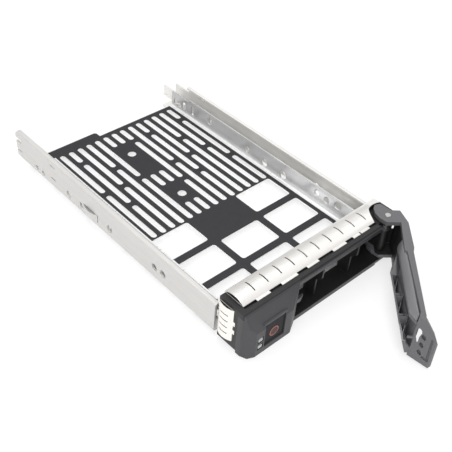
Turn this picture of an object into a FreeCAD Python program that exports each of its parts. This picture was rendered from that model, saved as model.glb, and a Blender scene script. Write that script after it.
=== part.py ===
"""Hot swap drive caddy for a 3.5 inch drive: a folded steel tray on two side rails, an insulating
film, a moulded front bezel with spring strips, a swinging lever and a release button.

Frame, in millimetres: the origin is on the film's top face, where the drive lies, on the centre
line and level with the rear pair of side screws. +X is right, +Y towards the back, +Z up.
"""
import FreeCAD
import Part

import math
import os
import re

import Sketcher

V = FreeCAD.Vector

# Driving dimensions, in millimetres and degrees; a formula gives a size that follows from others
SIZES = {
    # Drive and film
    "drive_width": 101.6,
    "side_play": 0.5,
    "film": 0.3,
    "film_half": "=drive_width / 2 - 2.25",
    "film_front": "=bezel_back - 1.6",
    "film_tab": 4.8,
    # Tray pan
    "pan_sheet": 1.0,
    "bend": 1.2,
    "flange_top": 11.7,
    "flange_back": "=pan_back + 0.8",
    "flange_front": "=bezel_back - 7.5",
    "pan_back": 37.4,
    "pan_front": "=bezel_back + 5.9",
    "tab_edge": 8.5,
    # Slots and windows
    "slot_width": 3.6,
    "slot_pitch": "=film_half / 7.47",
    "slot_first": "=slot_pitch * 6.15",
    "slot_back": "=pan_back - 2.9",
    "cell": 16.25,
    "slot_bridge": 3.4,
    "floor_hole": 2.7,
    "window_middle": "=window_inner - 4.4",
    "window_inner": "=window_outer * 0.4",
    "window_outer": "=film_half - 2.55",
    "window_first": "=film_front - 68",
    "window_long": 18.6,
    "window_step": 23.1,
    "window_corner": 1.6,
    # Side screws
    "screw_height": 6.35,
    "screw_hole": 1.75,
    "screw_spacing": 101.6,
    # Rails
    "rail_sheet": 1.2,
    "rail_gap": 6.2,
    "rail_outer": "=drive_width / 2 + side_play + pan_sheet + rail_gap",
    "rail_top": 16.3,
    "rail_lip": 3.0,
    "rail_foot": "=rail_gap + pan_sheet + side_play + 3.3",
    "rail_front": "=bezel_back - 2",
    "rail_back": "=pan_back + 17",
    "finger": 6.0,
    "rail_step": 12.0,
    "rail_step_low": 5.0,
    "leaf_back": -17.5,
    "leaf_bow": 1.8,
    # Bezel
    "bezel_half": "=rail_outer - 0.7",
    "bezel_top": 24.4,
    "bezel_low": 4.6,
    "bezel_back": 130.1,
    "under_step": 1.5,
    "bezel_wall": 2.0,
    "bezel_floor": 2.8,
    "bezel_deep": 17.0,
    "bezel_face": "=bezel_back + bezel_deep",
    "block_step": 4.1,
    "block_face": "=bezel_face + block_step",
    "block_edge": "=button_x - 11.6",
    "opening_left": "=button_x - 18.8",
    "opening_top": 20.8,
    "slope_start": 12.0,
    "slope_back": 3.8,
    "corner": 5.2,
    "fin": 1.2,
    "vent": 3.4,
    "vent_pitch": 5.4,
    # Spring strips
    "strip_sheet": 0.3,
    "strip_back": "=bezel_back - 0.7",
    "strip_depth": 12.9,
    "strip_arch": 2.6,
    "strip_half": "=bezel_half - 3.4",
    "strip_slit": 0.7,
    "strip_pitch": 8.85,
    "side_depth": 10.2,
    "side_arch": 1.9,
    # Lever and pivot
    "pivot_x": "=bezel_half - 8.1",
    "pivot_y": "=bezel_face - 4.2",
    "open_angle": 45.0,
    "pin_radius": 1.5,
    "pin_play": 0.05,
    "lever_top": 24.4,
    "lever_low": -1.4,
    "skirt_low": -3.5,
    "plate": 2.4,
    "lever_wall": 2.6,
    "lever_face": 9.8,
    "arm_end": 69.5,
    "tip_end": 76.0,
    "tip_flare": 17.0,
    "trough_side": 0.9,
    "trough_top": 10.0,
    "shelf_top": 18.0,
    "shelf_side": 4.2,
    "rib": 1.0,
    "rib_first": 29.4,
    "rib_pitch": 13.5,
    "boss": 2.7,
    "sweep": 10.3,
    # Release button, latch and light pipes
    "button_x": "=bezel_half - 17.8",
    "button_width": 13.0,
    "button_low": -1.0,
    "button_tall": 14.5,
    "button_thick": 5.5,
    "button_play": 0.35,
    "button_travel": 2.5,
    "button_sunk": 0.7,
    "ring_radius": 3.0,
    "ring_height": 5.0,
    "ring_inner": 2.45,
    "ring_seat": 0.6,
    "latch_low": 7.2,
    "latch_base": 1.0,
    "latch_thick": 2.6,
    "latch_play": 0.3,
    "latch_gap": 3.7,
    "latch_bar": "=block_face - button_thick - button_travel - latch_gap",
    "latch_deep": 3.0,
    "nose_tip": "=opening_left - 6",
    "pipe_x": "=bezel_half - 8.3",
    "pipe_upper": 5.7,
    "pipe_lower": 1.0,
    "pipe_half": 0.95,
    # Springs
    "coil_wall": 0.5,
    "coil_radius": 1.95,
    "coil_height": 3.0,
    "latch_coil": 1.3,
    "lever_coil": 3.5,
    "lever_coil_low": 15.6,
    "lever_coil_tall": 5.2,
}

# Slot runs of a floor column, as cells counted from the back: first cell and cell after the last
RUNS = {
    "pair": ((0, 3), (3, 6)),
    "triple": ((0, 1), (1, 4), (4, 6)),
    "late": ((0, 2), (2, 6)),
    "short": ((0, 1), (3, 4), (5, 6)),
}
COLUMNS = ("pair", "triple", "pair", "late", "pair", "short", "short",
           "triple", "pair", "triple", "pair", "late", "pair", "triple")

doc = FreeCAD.newDocument("drive_caddy")
sheet = doc.addObject("Spreadsheet::Sheet", "Sizes")
for row, alias in enumerate(SIZES, 1):
    sheet.set("A%d" % row, alias)
    sheet.setAlias("B%d" % row, alias)
for row, number in enumerate(SIZES.values(), 1):
    sheet.set("B%d" % row, str(number))
doc.recompute()

nodes = []


def size(alias):
    """The number that the sheet holds under this alias."""
    return float(sheet.get(alias))


def bound(text):
    """An expression in which each driving dimension is read from the sheet."""
    return re.sub(r"[a-z_]+", lambda word: "Sizes." + word.group(0) if word.group(0) in SIZES
                  else word.group(0), str(text))


# Primitives and booleans

def block(name, low, high):
    """A box between two corners given as expressions."""
    box = doc.addObject("Part::Box", name)
    for side, axis, start, end in zip(("Length", "Width", "Height"), "xyz", low, high):
        box.setExpression(side, bound("(%s) - (%s)" % (end, start)))
        box.setExpression("Placement.Base." + axis, bound(start))
    return box


def rod(name, axis, centre, radius, start, end):
    """A cylinder along X, Y or Z from start to end; centre gives its other two coordinates."""
    turn = {"x": FreeCAD.Rotation(V(0, 1, 0), 90), "y": FreeCAD.Rotation(V(1, 0, 0), -90),
            "z": FreeCAD.Rotation()}[axis]
    part = doc.addObject("Part::Cylinder", name)
    part.Placement = FreeCAD.Placement(V(0, 0, 0), turn)
    part.setExpression("Radius", bound(radius))
    part.setExpression("Height", bound("(%s) - (%s)" % (end, start)))
    others = [letter for letter in "xyz" if letter != axis]
    part.setExpression("Placement.Base." + axis, bound(start))
    for letter, text in zip(others, centre):
        part.setExpression("Placement.Base." + letter, bound(text))
    return part


def prism(name, axis, points, start, end):
    """A sketched outline, its corners bound to the sheet, drawn out along one axis."""
    turn = {"z": FreeCAD.Rotation(), "x": FreeCAD.Rotation(V(1, 1, 1), 120),
            "y": FreeCAD.Rotation(V(1, 0, 0), 90)}[axis]
    sketch = doc.addObject("Sketcher::SketchObject", name + "_outline")
    sketch.Placement = FreeCAD.Placement(V(0, 0, 0), turn)
    sketch.setExpression("Placement.Base." + axis, bound(start))
    measure = doc.addObject("Part::Box", name + "_corners")
    rough = []
    for u, v in points:
        measure.setExpression("Placement.Base.x", bound(u))
        measure.setExpression("Placement.Base.y", bound(v))
        measure.recompute()
        rough.append(V(measure.Placement.Base.x, measure.Placement.Base.y, 0))
    doc.removeObject(measure.Name)
    count = len(points)
    for i in range(count):
        sketch.addGeometry(Part.LineSegment(rough[i], rough[(i + 1) % count]), False)
    for i in range(count):
        sketch.addConstraint(Sketcher.Constraint("Coincident", i, 2, (i + 1) % count, 1))
        across = sketch.addConstraint(Sketcher.Constraint("DistanceX", -1, 1, i, 1, rough[i].x))
        along = sketch.addConstraint(Sketcher.Constraint("DistanceY", -1, 1, i, 1, rough[i].y))
        sketch.setExpression("Constraints[%d]" % across, bound(points[i][0]))
        sketch.setExpression("Constraints[%d]" % along, bound(points[i][1]))
    out = doc.addObject("Part::Extrusion", name)
    out.Base = sketch
    out.DirMode = "Custom"
    out.Dir = {"x": V(1, 0, 0), "y": V(0, 1, 0), "z": V(0, 0, 1)}[axis]
    out.setExpression("LengthFwd", bound("(%s) - (%s)" % (end, start)))
    out.Solid = True
    return out


def coded(name, shape):
    """A shape that the functions below work out from the sheet's numbers."""
    part = doc.addObject("Part::Feature", name)
    part.Shape = shape
    return part


def joined(name, parts):
    union = doc.addObject("Part::MultiFuse", name)
    union.Shapes = parts
    union.Refine = True
    return union


def without(name, base, tools):
    """The base less every tool."""
    tool = tools[0] if len(tools) == 1 else joined(name + "_tools", tools)
    cut = doc.addObject("Part::Cut", name)
    cut.Base = base
    cut.Tool = tool
    cut.Refine = True
    return cut


def keep(part, label):
    """Marks a finished piece; its label names its file."""
    part.Label = label
    nodes.append(part)
    return part


# Shapes worked out in code, where sheets are bent or holes follow a rule

def rounded(x1, x2, y1, y2, r, steps):
    """A rectangle with rounded corners in the floor plane, each corner drawn in straight steps."""
    points = []
    for x, y, turn in ((x2 - r, y2 - r, 0), (x1 + r, y2 - r, 90), (x1 + r, y1 + r, 180), (x2 - r, y1 + r, 270)):
        for step in range(steps + 1):
            angle = math.radians(turn + 90 * step / steps)
            point = V(x + r * math.cos(angle), y + r * math.sin(angle), 0)
            if not points or point.distanceToPoint(points[-1]) > 0.01:
                points.append(point)
    if points[0].distanceToPoint(points[-1]) < 0.01:
        points.pop()
    return Part.makePolygon(points + [points[0]])


def floor_cutters(margin, steps):
    """The slots, round holes and windows of the floor, each wider than the film's by the margin."""
    low, tall = -size("film") - size("pan_sheet") - 1, size("film") + size("pan_sheet") + 2
    wires = []
    for column, kind in enumerate(COLUMNS):
        x = size("slot_pitch") * column - size("slot_first")
        for begin, end in RUNS[kind]:
            back = size("slot_back") - size("cell") * begin
            front = size("slot_back") - size("cell") * end + size("slot_bridge")
            half = size("slot_width") / 2 + margin
            wires.append(rounded(x - half, x + half, front - margin, back + margin, half, steps))
    for step in range(3):
        front = -size("window_first") - size("window_step") * step - size("window_long")
        spans = [(-size("window_outer"), -size("window_inner")),
                 (size("window_inner"), size("window_outer"))]
        if step:
            spans.append((-size("window_middle"), size("window_middle")))
        for left, right in spans:
            wires.append(rounded(left - margin, right + margin, front - margin,
                                 front + size("window_long") + margin, size("window_corner"), steps))
    tools = [Part.Face(wire).extrude(V(0, 0, tall)) for wire in wires]
    hole_x = size("slot_pitch") * 5.5 - size("slot_first")
    for cells in (1.5, 4.5):
        y = size("slot_back") - size("cell") * cells - 0.6
        tools.append(Part.makeCylinder(size("floor_hole") + margin, tall, V(hole_x, y, 0)))
    cutter = Part.makeCompound(tools)
    cutter.translate(V(0, 0, low))
    return cutter


def long_edges(shape, axis, test):
    """The straight edges along one axis whose middle passes the test."""
    chosen = []
    for edge in shape.Edges:
        if edge.Curve.TypeId != "Part::GeomLine":
            continue
        direction = edge.tangentAt(edge.FirstParameter)
        if abs(abs(getattr(direction, axis)) - 1) < 1e-6 and test(edge.CenterOfMass):
            chosen.append(edge)
    return chosen


def plate_box(x1, x2, y1, y2, z1, z2):
    return Part.makeBox(x2 - x1, y2 - y1, z2 - z1, V(x1, y1, z1))


def tray_pan():
    """The floor and its two upright flanges, folded from one sheet."""
    inner = size("drive_width") / 2 + size("side_play")
    sheet_thick, bend = size("pan_sheet"), size("bend")
    outer, top, floor = inner + sheet_thick, size("flange_top"), -size("film")
    tail = size("pan_back") + size("film_tab") + 0.8
    body = plate_box(-outer, outer, -size("pan_front"), tail, floor - sheet_thick, top)
    body = body.makeFillet(bend + sheet_thick, long_edges(
        body, "y", lambda c: c.z < floor))
    hollow = plate_box(-inner, inner, -size("pan_front") - 1, tail + 1, floor, top + 1)
    hollow = hollow.makeFillet(bend, long_edges(hollow, "y", lambda c: c.z < floor + 0.1))
    body = body.cut(hollow)
    above = floor + bend
    cuts = [plate_box(-outer - 1, outer + 1, -size("pan_front") - 1, -size("flange_front"), above, top + 1),
            plate_box(-outer - 1, outer + 1, size("flange_back"), tail + 1, above, top + 1),
            plate_box(-size("tab_edge"), outer + 1, size("pan_back") + 0.8, tail + 1, floor - 2, top + 1),
            plate_box(-outer - 1, outer + 1, size("flange_back") - 16.8, tail + 1, top - 1.7, top + 1),
            plate_box(size("pivot_x") - size("sweep") - 3, outer + 1, -size("pan_front") - 1,
                      -size("bezel_back") - size("bezel_wall") + 0.5, floor - 2, top + 1)]
    holes = [(25.5, 5.0, 1.7), (-35.9, 4.8, 1.6), (-51.0, 3.4, 2.2), (-67.0, 3.4, 2.2),
             (-93.8, 6.8, 1.5), (-109.9, 7.7, 2.6), (0, size("screw_height"), size("screw_hole")),
             (-size("screw_spacing"), size("screw_height"), size("screw_hole"))]
    for y, z, r in holes:
        cuts.append(Part.makeCylinder(r, 2 * outer + 2, V(-outer - 1, y, z), V(1, 0, 0)))
    cuts.append(plate_box(-outer - 1, outer + 1, 15.6, 18.4, 1.6, 8.4))
    cuts.append(plate_box(-outer - 1, outer + 1, 30.4, 34.4, 2.2, 4.6))
    return body.cut(Part.makeCompound(cuts)).cut(floor_cutters(0.15, 2))


def insulating_film():
    """The black film on the floor: the floor's slots and windows, and a tab at the back left."""
    half, back, tail = size("film_half"), size("pan_back"), size("pan_back") + size("film_tab")
    edge, r = -size("tab_edge") - 0.4, 2.0
    body = plate_box(-half, half, -size("film_front"), tail, -size("film"), 0)
    body = body.cut(plate_box(edge, half + 1, back, tail + 1, -1, 1))
    body = body.makeFillet(r, long_edges(
        body, "z", lambda c: c.y > back + 0.1 and abs(c.x - edge) < 0.1 and c.y > tail - 0.1))
    return body.cut(floor_cutters(0, 3))


def channel():
    """The rail's section, drawn out over its whole length, for the left side."""
    outer, top, sheet_thick = size("rail_outer"), size("rail_top"), size("rail_sheet")
    low = -size("film") - size("pan_sheet") - sheet_thick
    front, back = -size("rail_front"), size("rail_back")
    body = plate_box(-outer, -outer + size("rail_foot"), front, back, low, top)
    body = body.makeFillet(1.5, long_edges(body, "y", lambda c: c.x < -outer + 0.1))
    body = body.cut(plate_box(-outer + sheet_thick, 0, front - 1, back + 1, low + sheet_thick,
                              top - sheet_thick))
    return body.cut(plate_box(-outer + size("rail_lip"), 0, front - 1, back + 1, top - sheet_thick - 0.1,
                              top + 1))


def rail_holes():
    """Holes, slits and the sprung leaf's slots in the rail's web."""
    outer = size("rail_outer")
    tools = []
    for y, z, r in ((24.8, 1.6, 1.1), (-2.3, 3.0, 1.6), (-42.3, 4.0, 2.0), (-81.6, 5.4, 1.5),
                    (-88.6, 5.8, 1.9)):
        tools.append(Part.makeCylinder(r, 4, V(-outer - 1, y, z), V(1, 0, 0)))
    for y1, y2, z1, z2 in ((30.0, 33.4, 0.8, 2.4), (11.0, 16.0, 12.6, 13.4), (11.4, 16.4, 3.5, 4.3),
                           (-31.5, -17.5, 5.6, 6.2), (-31.5, -17.5, 0.8, 1.4), (-31.5, -30.9, 0.8, 6.2),
                           (-16.8, -13.8, 1.6, 5.0)):
        tools.append(plate_box(-outer - 1, -outer + 3, y1, y2, z1, z2))
    web, foot = -outer + size("rail_sheet"), -size("film") - size("pan_sheet")
    for y1, y2 in ((16, 36), (-12, 9), (-37.5, -21), (-52.5, -42), (-71, -57), (-110, -86)):
        tools.append(plate_box(web, web + 4.2, y1, y2, foot - 2, foot + 0.2))
    return Part.makeCompound(tools)


def bowed_leaf():
    """The tongue between the leaf's slots, bowed outwards so that it springs on the bay's wall."""
    outer, start, end = size("rail_outer"), size("leaf_back") + 0.1, size("leaf_back") - 13.1
    middle, rise, thick = (start + end) / 2, size("leaf_bow"), size("rail_sheet") / 2
    rear, front, crown = V(-outer, start, 0), V(-outer, end, 0), V(-outer - rise, middle, 0)
    shift = V(thick, 0, 0)
    edges = [Part.Arc(rear, crown, front).toShape(),
             Part.LineSegment(front, front + shift).toShape(),
             Part.Arc(front + shift, crown + shift, rear + shift).toShape(),
             Part.LineSegment(rear + shift, rear).toShape()]
    leaf = Part.Face(Part.Wire(edges)).extrude(V(0, 0, 4.2))
    leaf.translate(V(0, 0, 1.4))
    return leaf


def mirrored(shape):
    return shape.mirror(V(0, 0, 0), V(1, 0, 0))


def left_rail():
    """The left rail: three guide fingers at the back."""
    body = channel()
    outer, back, deep = size("rail_outer"), size("rail_back"), size("finger")
    low = -size("film") - size("pan_sheet") - size("rail_sheet")
    cuts = [plate_box(-outer - 1, -outer + 4, back - deep, back + 1, 9.2, 11.8),
            plate_box(-outer - 1, -outer + 4, back - deep, back + 1, 2.4, 3.7),
            plate_box(-outer + size("rail_sheet") + 0.3, 0, back - deep - 5, back + 1, low - 1, 0)]
    cuts.append(plate_box(-outer - 1, 0, back - 1.2, back + 1, size("rail_top") - 1.6, size("rail_top") + 1))
    slant = Part.Face(Part.makePolygon([V(-outer - 1, back + 1, low - 1), V(-outer - 1, back + 1, -1.7),
                                        V(-outer - 1, back - 1.5, -1.7), V(-outer - 1, back - 12, low - 1),
                                        V(-outer - 1, back + 1, low - 1)])).extrude(V(12, 0, 0))
    leaf = size("leaf_back")
    window = plate_box(-outer - 1, -outer + 3, leaf - 14, leaf, 1.4, 5.6)
    return body.cut(Part.makeCompound(cuts + [slant, rail_holes(), window])).fuse(bowed_leaf()).removeSplitter()


def right_rail():
    """The right rail: its back end steps down twice."""
    body = channel()
    outer, back = size("rail_outer"), size("rail_back")
    low = -size("film") - size("pan_sheet") - size("rail_sheet")
    cuts = [plate_box(-outer - 1, 0, back - 26.5, back + 1, size("rail_step"), size("rail_top") + 1),
            plate_box(-outer - 1, 0, back - 12.8, back + 1, size("rail_step_low"), size("rail_top") + 1),
            plate_box(-outer + size("rail_sheet") + 0.3, 0, back - 11, back + 1, low - 1, 0)]
    leaf = size("leaf_back")
    window = plate_box(-outer - 1, -outer + 3, leaf - 14, leaf, 1.4, 5.6)
    body = body.cut(Part.makeCompound(cuts + [rail_holes(), window])).fuse(bowed_leaf())
    return mirrored(body.removeSplitter())


def arch(width, rise, thick, length, pitch, slit, first, count):
    """A spring strip in its own frame: a closed arch over a flat base, slit into fingers.

    It runs along X from 0, its base lies on Z = 0 and its width goes from Y = 0 to -width."""
    def bow(inset):
        left, right = V(0, -inset, thick), V(0, -width + inset, thick)
        crown = V(0, -width / 2, rise - (inset if inset else 0))
        return Part.Wire([Part.Arc(left, crown, right).toShape(),
                          Part.LineSegment(right, left).toShape()])
    outer = Part.Face(bow(0)).extrude(V(length, 0, 0))
    base = Part.makeBox(length, width, thick, V(0, -width, 0))
    inner = Part.Face(bow(thick * 1.6)).extrude(V(length + 2, 0, 0))
    inner.translate(V(-1, 0, 0))
    body = outer.cut(inner).fuse(base)
    cuts = []
    for i in range(count):
        cuts.append(Part.makeBox(slit, width * 0.52, rise, V(first + pitch * i - slit / 2,
                                                             -width * 0.76, thick * 1.2)))
    return body.cut(Part.makeCompound(cuts)).removeSplitter()


def clip_tabs(spans, reach, thick, width):
    """Flat tabs in front of a strip, which clip it to the bezel."""
    return [Part.makeBox(end - start, reach + 0.1, thick, V(start, -width - reach, 0)) for start, end in spans]


def top_strip():
    sheet_thick, depth, half = size("strip_sheet"), size("strip_depth"), size("strip_half")
    arched = size("pivot_x") - size("sweep") + 6.5 + half
    body = arch(depth, size("strip_arch"), sheet_thick, arched, size("strip_pitch"), size("strip_slit"),
                half - 5 * size("strip_pitch") + 0.1, 10)
    flat = Part.makeBox(2 * half - arched, depth, sheet_thick, V(arched, -depth, 0))
    unit = size("strip_pitch")
    spans = [(half + unit * a, half + unit * b) for a, b in (
        (-5.27, -4.29), (-3.41, -2.19), (-1.41, -0.50), (0.70, 1.80), (2.42, 3.0), (3.1, 3.84))]
    tabs = clip_tabs(spans, 1.5, sheet_thick, depth)
    body = body.fuse([flat] + tabs).removeSplitter()
    body.translate(V(-half, -size("strip_back"), size("bezel_top")))
    turn = Part.makeCylinder(size("sweep") + 0.2, 8, V(size("pivot_x"), -size("pivot_y"),
                                                       size("bezel_top") - 1))
    return body.cut(turn)


def bottom_strip():
    """The strip under the bezel, with a lower arch; the caddy rests on it at the front."""
    sheet_thick, depth, half = size("strip_sheet"), size("strip_depth") - 1, size("strip_half")
    length = 2 * half - 12.8
    body = arch(depth, size("strip_arch") - 0.8, sheet_thick, length, size("strip_pitch"),
                size("strip_slit"), half - 5.8 - 5 * size("strip_pitch"), 11)
    body = body.mirror(V(0, 0, 0), V(0, 0, 1))
    body.translate(V(-half - 1.2, -size("strip_back") - 0.8, size("under_step") - size("bezel_low")))
    return body


def side_strip(low, high):
    """A side strip for the left wall, from one height to another."""
    body = arch(size("side_depth"), size("side_arch"), size("strip_sheet"), high - low, 4.1,
                size("strip_slit"), 4.2, 4)
    tabs = clip_tabs([(5.6, 8.2), (11.2, 13.8)], 1.2, size("strip_sheet"), size("side_depth"))
    body = body.fuse(tabs).removeSplitter()
    body.rotate(V(0, 0, 0), V(0, 1, 0), -90)
    body.translate(V(-size("bezel_half"), -size("bezel_back"), low))
    return body


# Bezel

def bezel():
    """The moulded front: a button block on the left, a deep opening and a pivot bay on the right."""
    left, right = "-bezel_half", "bezel_half"
    plan = prism("bezel_plan", "z", [
        (left, "-bezel_back"), (left, "-block_face + corner"), ("-bezel_half + corner * 0.3",
                                                               "-block_face + corner * 0.3"),
        ("-bezel_half + corner", "-block_face"), ("-block_edge", "-block_face"),
        ("-opening_left", "-bezel_face"), (right, "-bezel_face"), (right, "-bezel_back")],
        "-bezel_low", "bezel_top")
    slope = prism("bezel_slope", "x", [
        ("-block_face - 1", "slope_start"), ("-block_face", "slope_start"),
        ("-block_face + slope_back", "bezel_top - 1.2"), ("-block_face + slope_back + 1", "bezel_top"),
        ("-block_face + slope_back + 1", "bezel_top + 1"), ("-block_face - 1", "bezel_top + 1")],
        "-bezel_half - 1", "0")
    face_edge = prism("bezel_face_edge", "x", [
        ("-bezel_face - 1", "bezel_top - 1.2"), ("-bezel_face", "bezel_top - 1.2"),
        ("-bezel_face + 1", "bezel_top"), ("-bezel_face + 1", "bezel_top + 1"),
        ("-bezel_face - 1", "bezel_top + 1")], "-opening_left", "bezel_half + 1")
    opening = block("bezel_opening", ("-opening_left", "-block_face - 1", "-bezel_low + bezel_floor"),
                    ("bezel_half + 1", "-bezel_back - bezel_wall", "opening_top"))
    groove = block("bezel_groove", ("-strip_half", "-strip_back - strip_depth - 1.4",
                                    "bezel_top - 1.2"),
                   ("pivot_x - sweep", "-strip_back - strip_depth - 0.1", "bezel_top + 1"))
    bay = rod("pivot_bay", "z", ("pivot_x", "-pivot_y"), "sweep", "lever_top - plate - 0.3",
              "bezel_top + 1")
    bay_front = block("pivot_bay_front", ("pivot_x - 7", "-block_face - 1", "opening_top - 0.1"),
                      ("bezel_half + 1", "-pivot_y", "bezel_top + 1"))
    lip_notch = prism("lip_notch", "z", [
        ("pivot_x - 8.5", "-bezel_face - 1"), ("bezel_half + 1", "-bezel_face - 1"),
        ("bezel_half + 1", "-pivot_y - 1"), ("pivot_x - 4.5", "-pivot_y - 1")],
        "-bezel_low - 1", "-bezel_low + 1.1")
    rear_corner = block("rear_corner", ("strip_half + 0.2", "-pivot_y", "opening_top"),
                        ("bezel_half + 1", "-bezel_back + 1", "bezel_top + 1"))
    under = block("under_recess", ("-bezel_half - 1", "-strip_back - strip_depth - 0.8", "-bezel_low - 1"),
                  ("strip_half - 13.4", "-bezel_back + 1", "-bezel_low + under_step"))
    shell = without("bezel_shell", plan, [slope, face_edge, opening, groove, bay, bay_front, lip_notch,
                                          rear_corner, under])
    whole = joined("bezel_whole", [shell, button_hood(), pan_ledge()] + pivot_bay_walls() + fins())
    frames = [block("pipe_frame_" + which, ("-pipe_x - 1.9", "-block_face - 1", "pipe_%s - 1.8" % which),
                    ("-pipe_x + 1.9", "-block_face + 0.6", "pipe_%s + 1.8" % which))
              for which in ("upper", "lower")]
    cuts = button_bay() + vents() + frames + [
        pan_slot(),
        rod("pin_hole", "z", ("pivot_x", "-pivot_y"), "pin_radius + pin_play", "-bezel_low + 0.6",
            "bezel_top + 1"),
        rod("plate_way", "z", ("pivot_x", "-pivot_y"), "sweep", "-bezel_low + bezel_floor",
            "lever_low + plate + 0.3")]
    return keep(without("front_bezel", whole, cuts), "front_bezel")


def pivot_bay_walls():
    """The boss that carries the pin, its web to the back wall and the right wall, between the
    ways of the lever's two plates."""
    low, high = "lever_low + plate + 0.3", "lever_top - plate - 0.3"
    boss = rod("pivot_boss", "z", ("pivot_x", "-pivot_y"), "boss", low, high)
    web = block("boss_web", ("pivot_x - 1.5", "-pivot_y", low),
                ("pivot_x + 1.5", "-bezel_back - 0.5", high))
    coil_way = rod("lever_coil_way", "z", ("pivot_x", "-pivot_y"), "lever_coil + 0.3",
                   "lever_coil_low", "lever_coil_low + lever_coil_tall + 0.5")
    wall = block("right_wall", ("bezel_half - 1.8", "-bezel_back - side_depth - 1.4", low),
                 ("bezel_half", "-bezel_back - 0.5", high))
    return [boss, without("boss_web_cut", web, [coil_way]), wall]


def fins():
    """Two upright fins in the opening, cut back below so that the closed lever clears them."""
    parts = []
    for i, x in enumerate((-3.0, 23.5)):
        parts.append(prism("bezel_fin_%d" % i, "x", [
            ("-bezel_back - 0.5", "-bezel_low + bezel_floor - 0.1"),
            ("-pivot_y - 0.2", "-bezel_low + bezel_floor - 0.1"), ("-pivot_y - 0.3", "trough_top + 0.6"),
            ("-bezel_face + 0.6", "trough_top + 3.6"), ("-bezel_face + 0.4", "opening_top + 0.1"),
            ("-bezel_back - 0.5", "opening_top + 0.1")], "%g - fin / 2" % x, "%g + fin / 2" % x))
    return parts


def button_hood():
    return block("button_hood", ("-button_x - button_width / 2 - 1.2", "-block_face + 0.2",
                                 "button_low + button_tall + button_play"),
                 ("-button_x + button_width / 2 + 1.2", "-block_face + 4",
                  "button_low + button_tall + button_play + 1.3"))


def pan_ledge():
    """The raised strip of the bezel's floor that the pan's front edge lies on."""
    return block("pan_ledge", ("-opening_left - 0.5", "-pan_front - 0.2", "-bezel_low + bezel_floor - 0.1"),
                 ("pivot_x - sweep - 3.2", "-bezel_back - 0.5", "-film - pan_sheet"))


def pan_slot():
    """The slot in the bezel's back through which the pan's front edge lies on the bezel's floor."""
    return block("pan_slot", ("-drive_width / 2 - side_play - pan_sheet - 0.1", "-pan_front - 0.2",
                              "-film - pan_sheet"),
                 ("drive_width / 2 + side_play + pan_sheet + 0.1", "-bezel_back + 1", "bend - film + 0.2"))


def vents():
    """Upright air slots through the bezel's back wall, either side of the fins."""
    slots = []
    for i in range(11):
        x = "%d * vent_pitch - opening_left + 4.6" % i
        slots.append(block("vent_%d" % i, ("%s - vent / 2" % x, "-bezel_back - bezel_wall - 1", "6.5"),
                           ("%s + vent / 2" % x, "-bezel_back + 1", "17.5")))
    return slots


def button_bay():
    """The pockets for the button, its spring, the latch and the two light pipes."""
    left, right = "-button_x - button_width / 2", "-button_x + button_width / 2"
    rest, play = "-block_face - 1", "latch_play"
    back = "-block_face + button_thick + button_travel + 0.6"
    low, high = "latch_low - latch_play", "latch_low + latch_thick + latch_play"
    bays = [
        block("button_pocket", (left + " - button_play", rest, "button_low - button_play"),
              (right + " + button_play", back, "button_low + button_tall + button_play")),
        rod("spring_pocket", "y", ("-button_x", "coil_height"), "coil_radius + 0.4", back + " - 1",
            "-bezel_back - 4"),
        block("latch_pocket", ("-bezel_half + 3.2", "-latch_bar - " + play, low),
              ("-opening_left - 1.2", "-bezel_back - 3", high)),
        block("prong_way", ("-button_x - 1.5 - " + play, back + " - 1", "latch_low + latch_base"),
              ("-button_x + 3.5 + " + play, "-latch_bar", high)),
        block("latch_way", ("-button_x + button_width / 2 + 0.4", "-bezel_face - 0.2", low),
              ("-opening_left - 1.2", "-latch_bar", high)),
        block("nose_way", ("-opening_left - 2", "-pivot_y - 4.1", low),
              ("-opening_left + 1", "-pivot_y - 1.5", high))]
    for name in ("upper", "lower"):
        bays.append(light_pipe("pipe_way_" + name, name, "-block_face - 1", "-bezel_back + 1"))
    return bays


def light_pipe(name, which, start, end):
    """A light pipe's bar, or with other ends the way that it lies in."""
    height = "pipe_" + which
    return block(name, ("-pipe_x - pipe_half * 1.3", start, height + " - pipe_half"),
                 ("-pipe_x + pipe_half * 1.3", end, height + " + pipe_half"))


# Button and latch

def release_button():
    """The button: a block with a ring seat in its face and a slanted prong that draws the latch."""
    front, back = "-block_face + button_sunk", "-block_face + button_thick + 0.2"
    left, right = "-button_x - button_width / 2", "-button_x + button_width / 2"
    body = block("button_body", (left, front, "button_low"), (right, back, "button_low + button_tall"))
    reach = "-latch_bar + 1"
    prong = prism("button_prong", "z", [
        ("-button_x - 1.5", back + " - 1"), ("-button_x + 3.5", back + " - 1"),
        ("-button_x + 3.5", reach), ("-button_x - 0.58", reach), ("-button_x - 1.5", reach + " - 0.92")],
        "latch_low + latch_base + latch_play", "latch_low + latch_thick")
    seat = rod("ring_seat_hole", "y", ("-button_x", "ring_height"), "ring_radius + 0.02", front + " - 1",
               front + " + ring_seat")
    return keep(without("release_button", joined("button_whole", [body, prong]), [seat]), "release_button")


def button_ring():
    """The coloured ring in the button's face."""
    start, end = "-block_face + button_sunk - 0.15", "-block_face + button_sunk + ring_seat"
    outer = rod("ring_outer", "y", ("-button_x", "ring_height"), "ring_radius", start, end)
    inner = rod("ring_hole", "y", ("-button_x", "ring_height"), "ring_inner", start + " - 1", end + " + 1")
    return keep(without("button_ring", outer, [inner]), "button_ring")


def button_lens():
    """The lens inside the ring."""
    return keep(rod("button_lens", "y", ("-button_x", "ring_height"), "ring_inner - 0.02",
                    "-block_face + button_sunk - 0.08", "-block_face + button_sunk + ring_seat"),
                "button_lens")


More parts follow.
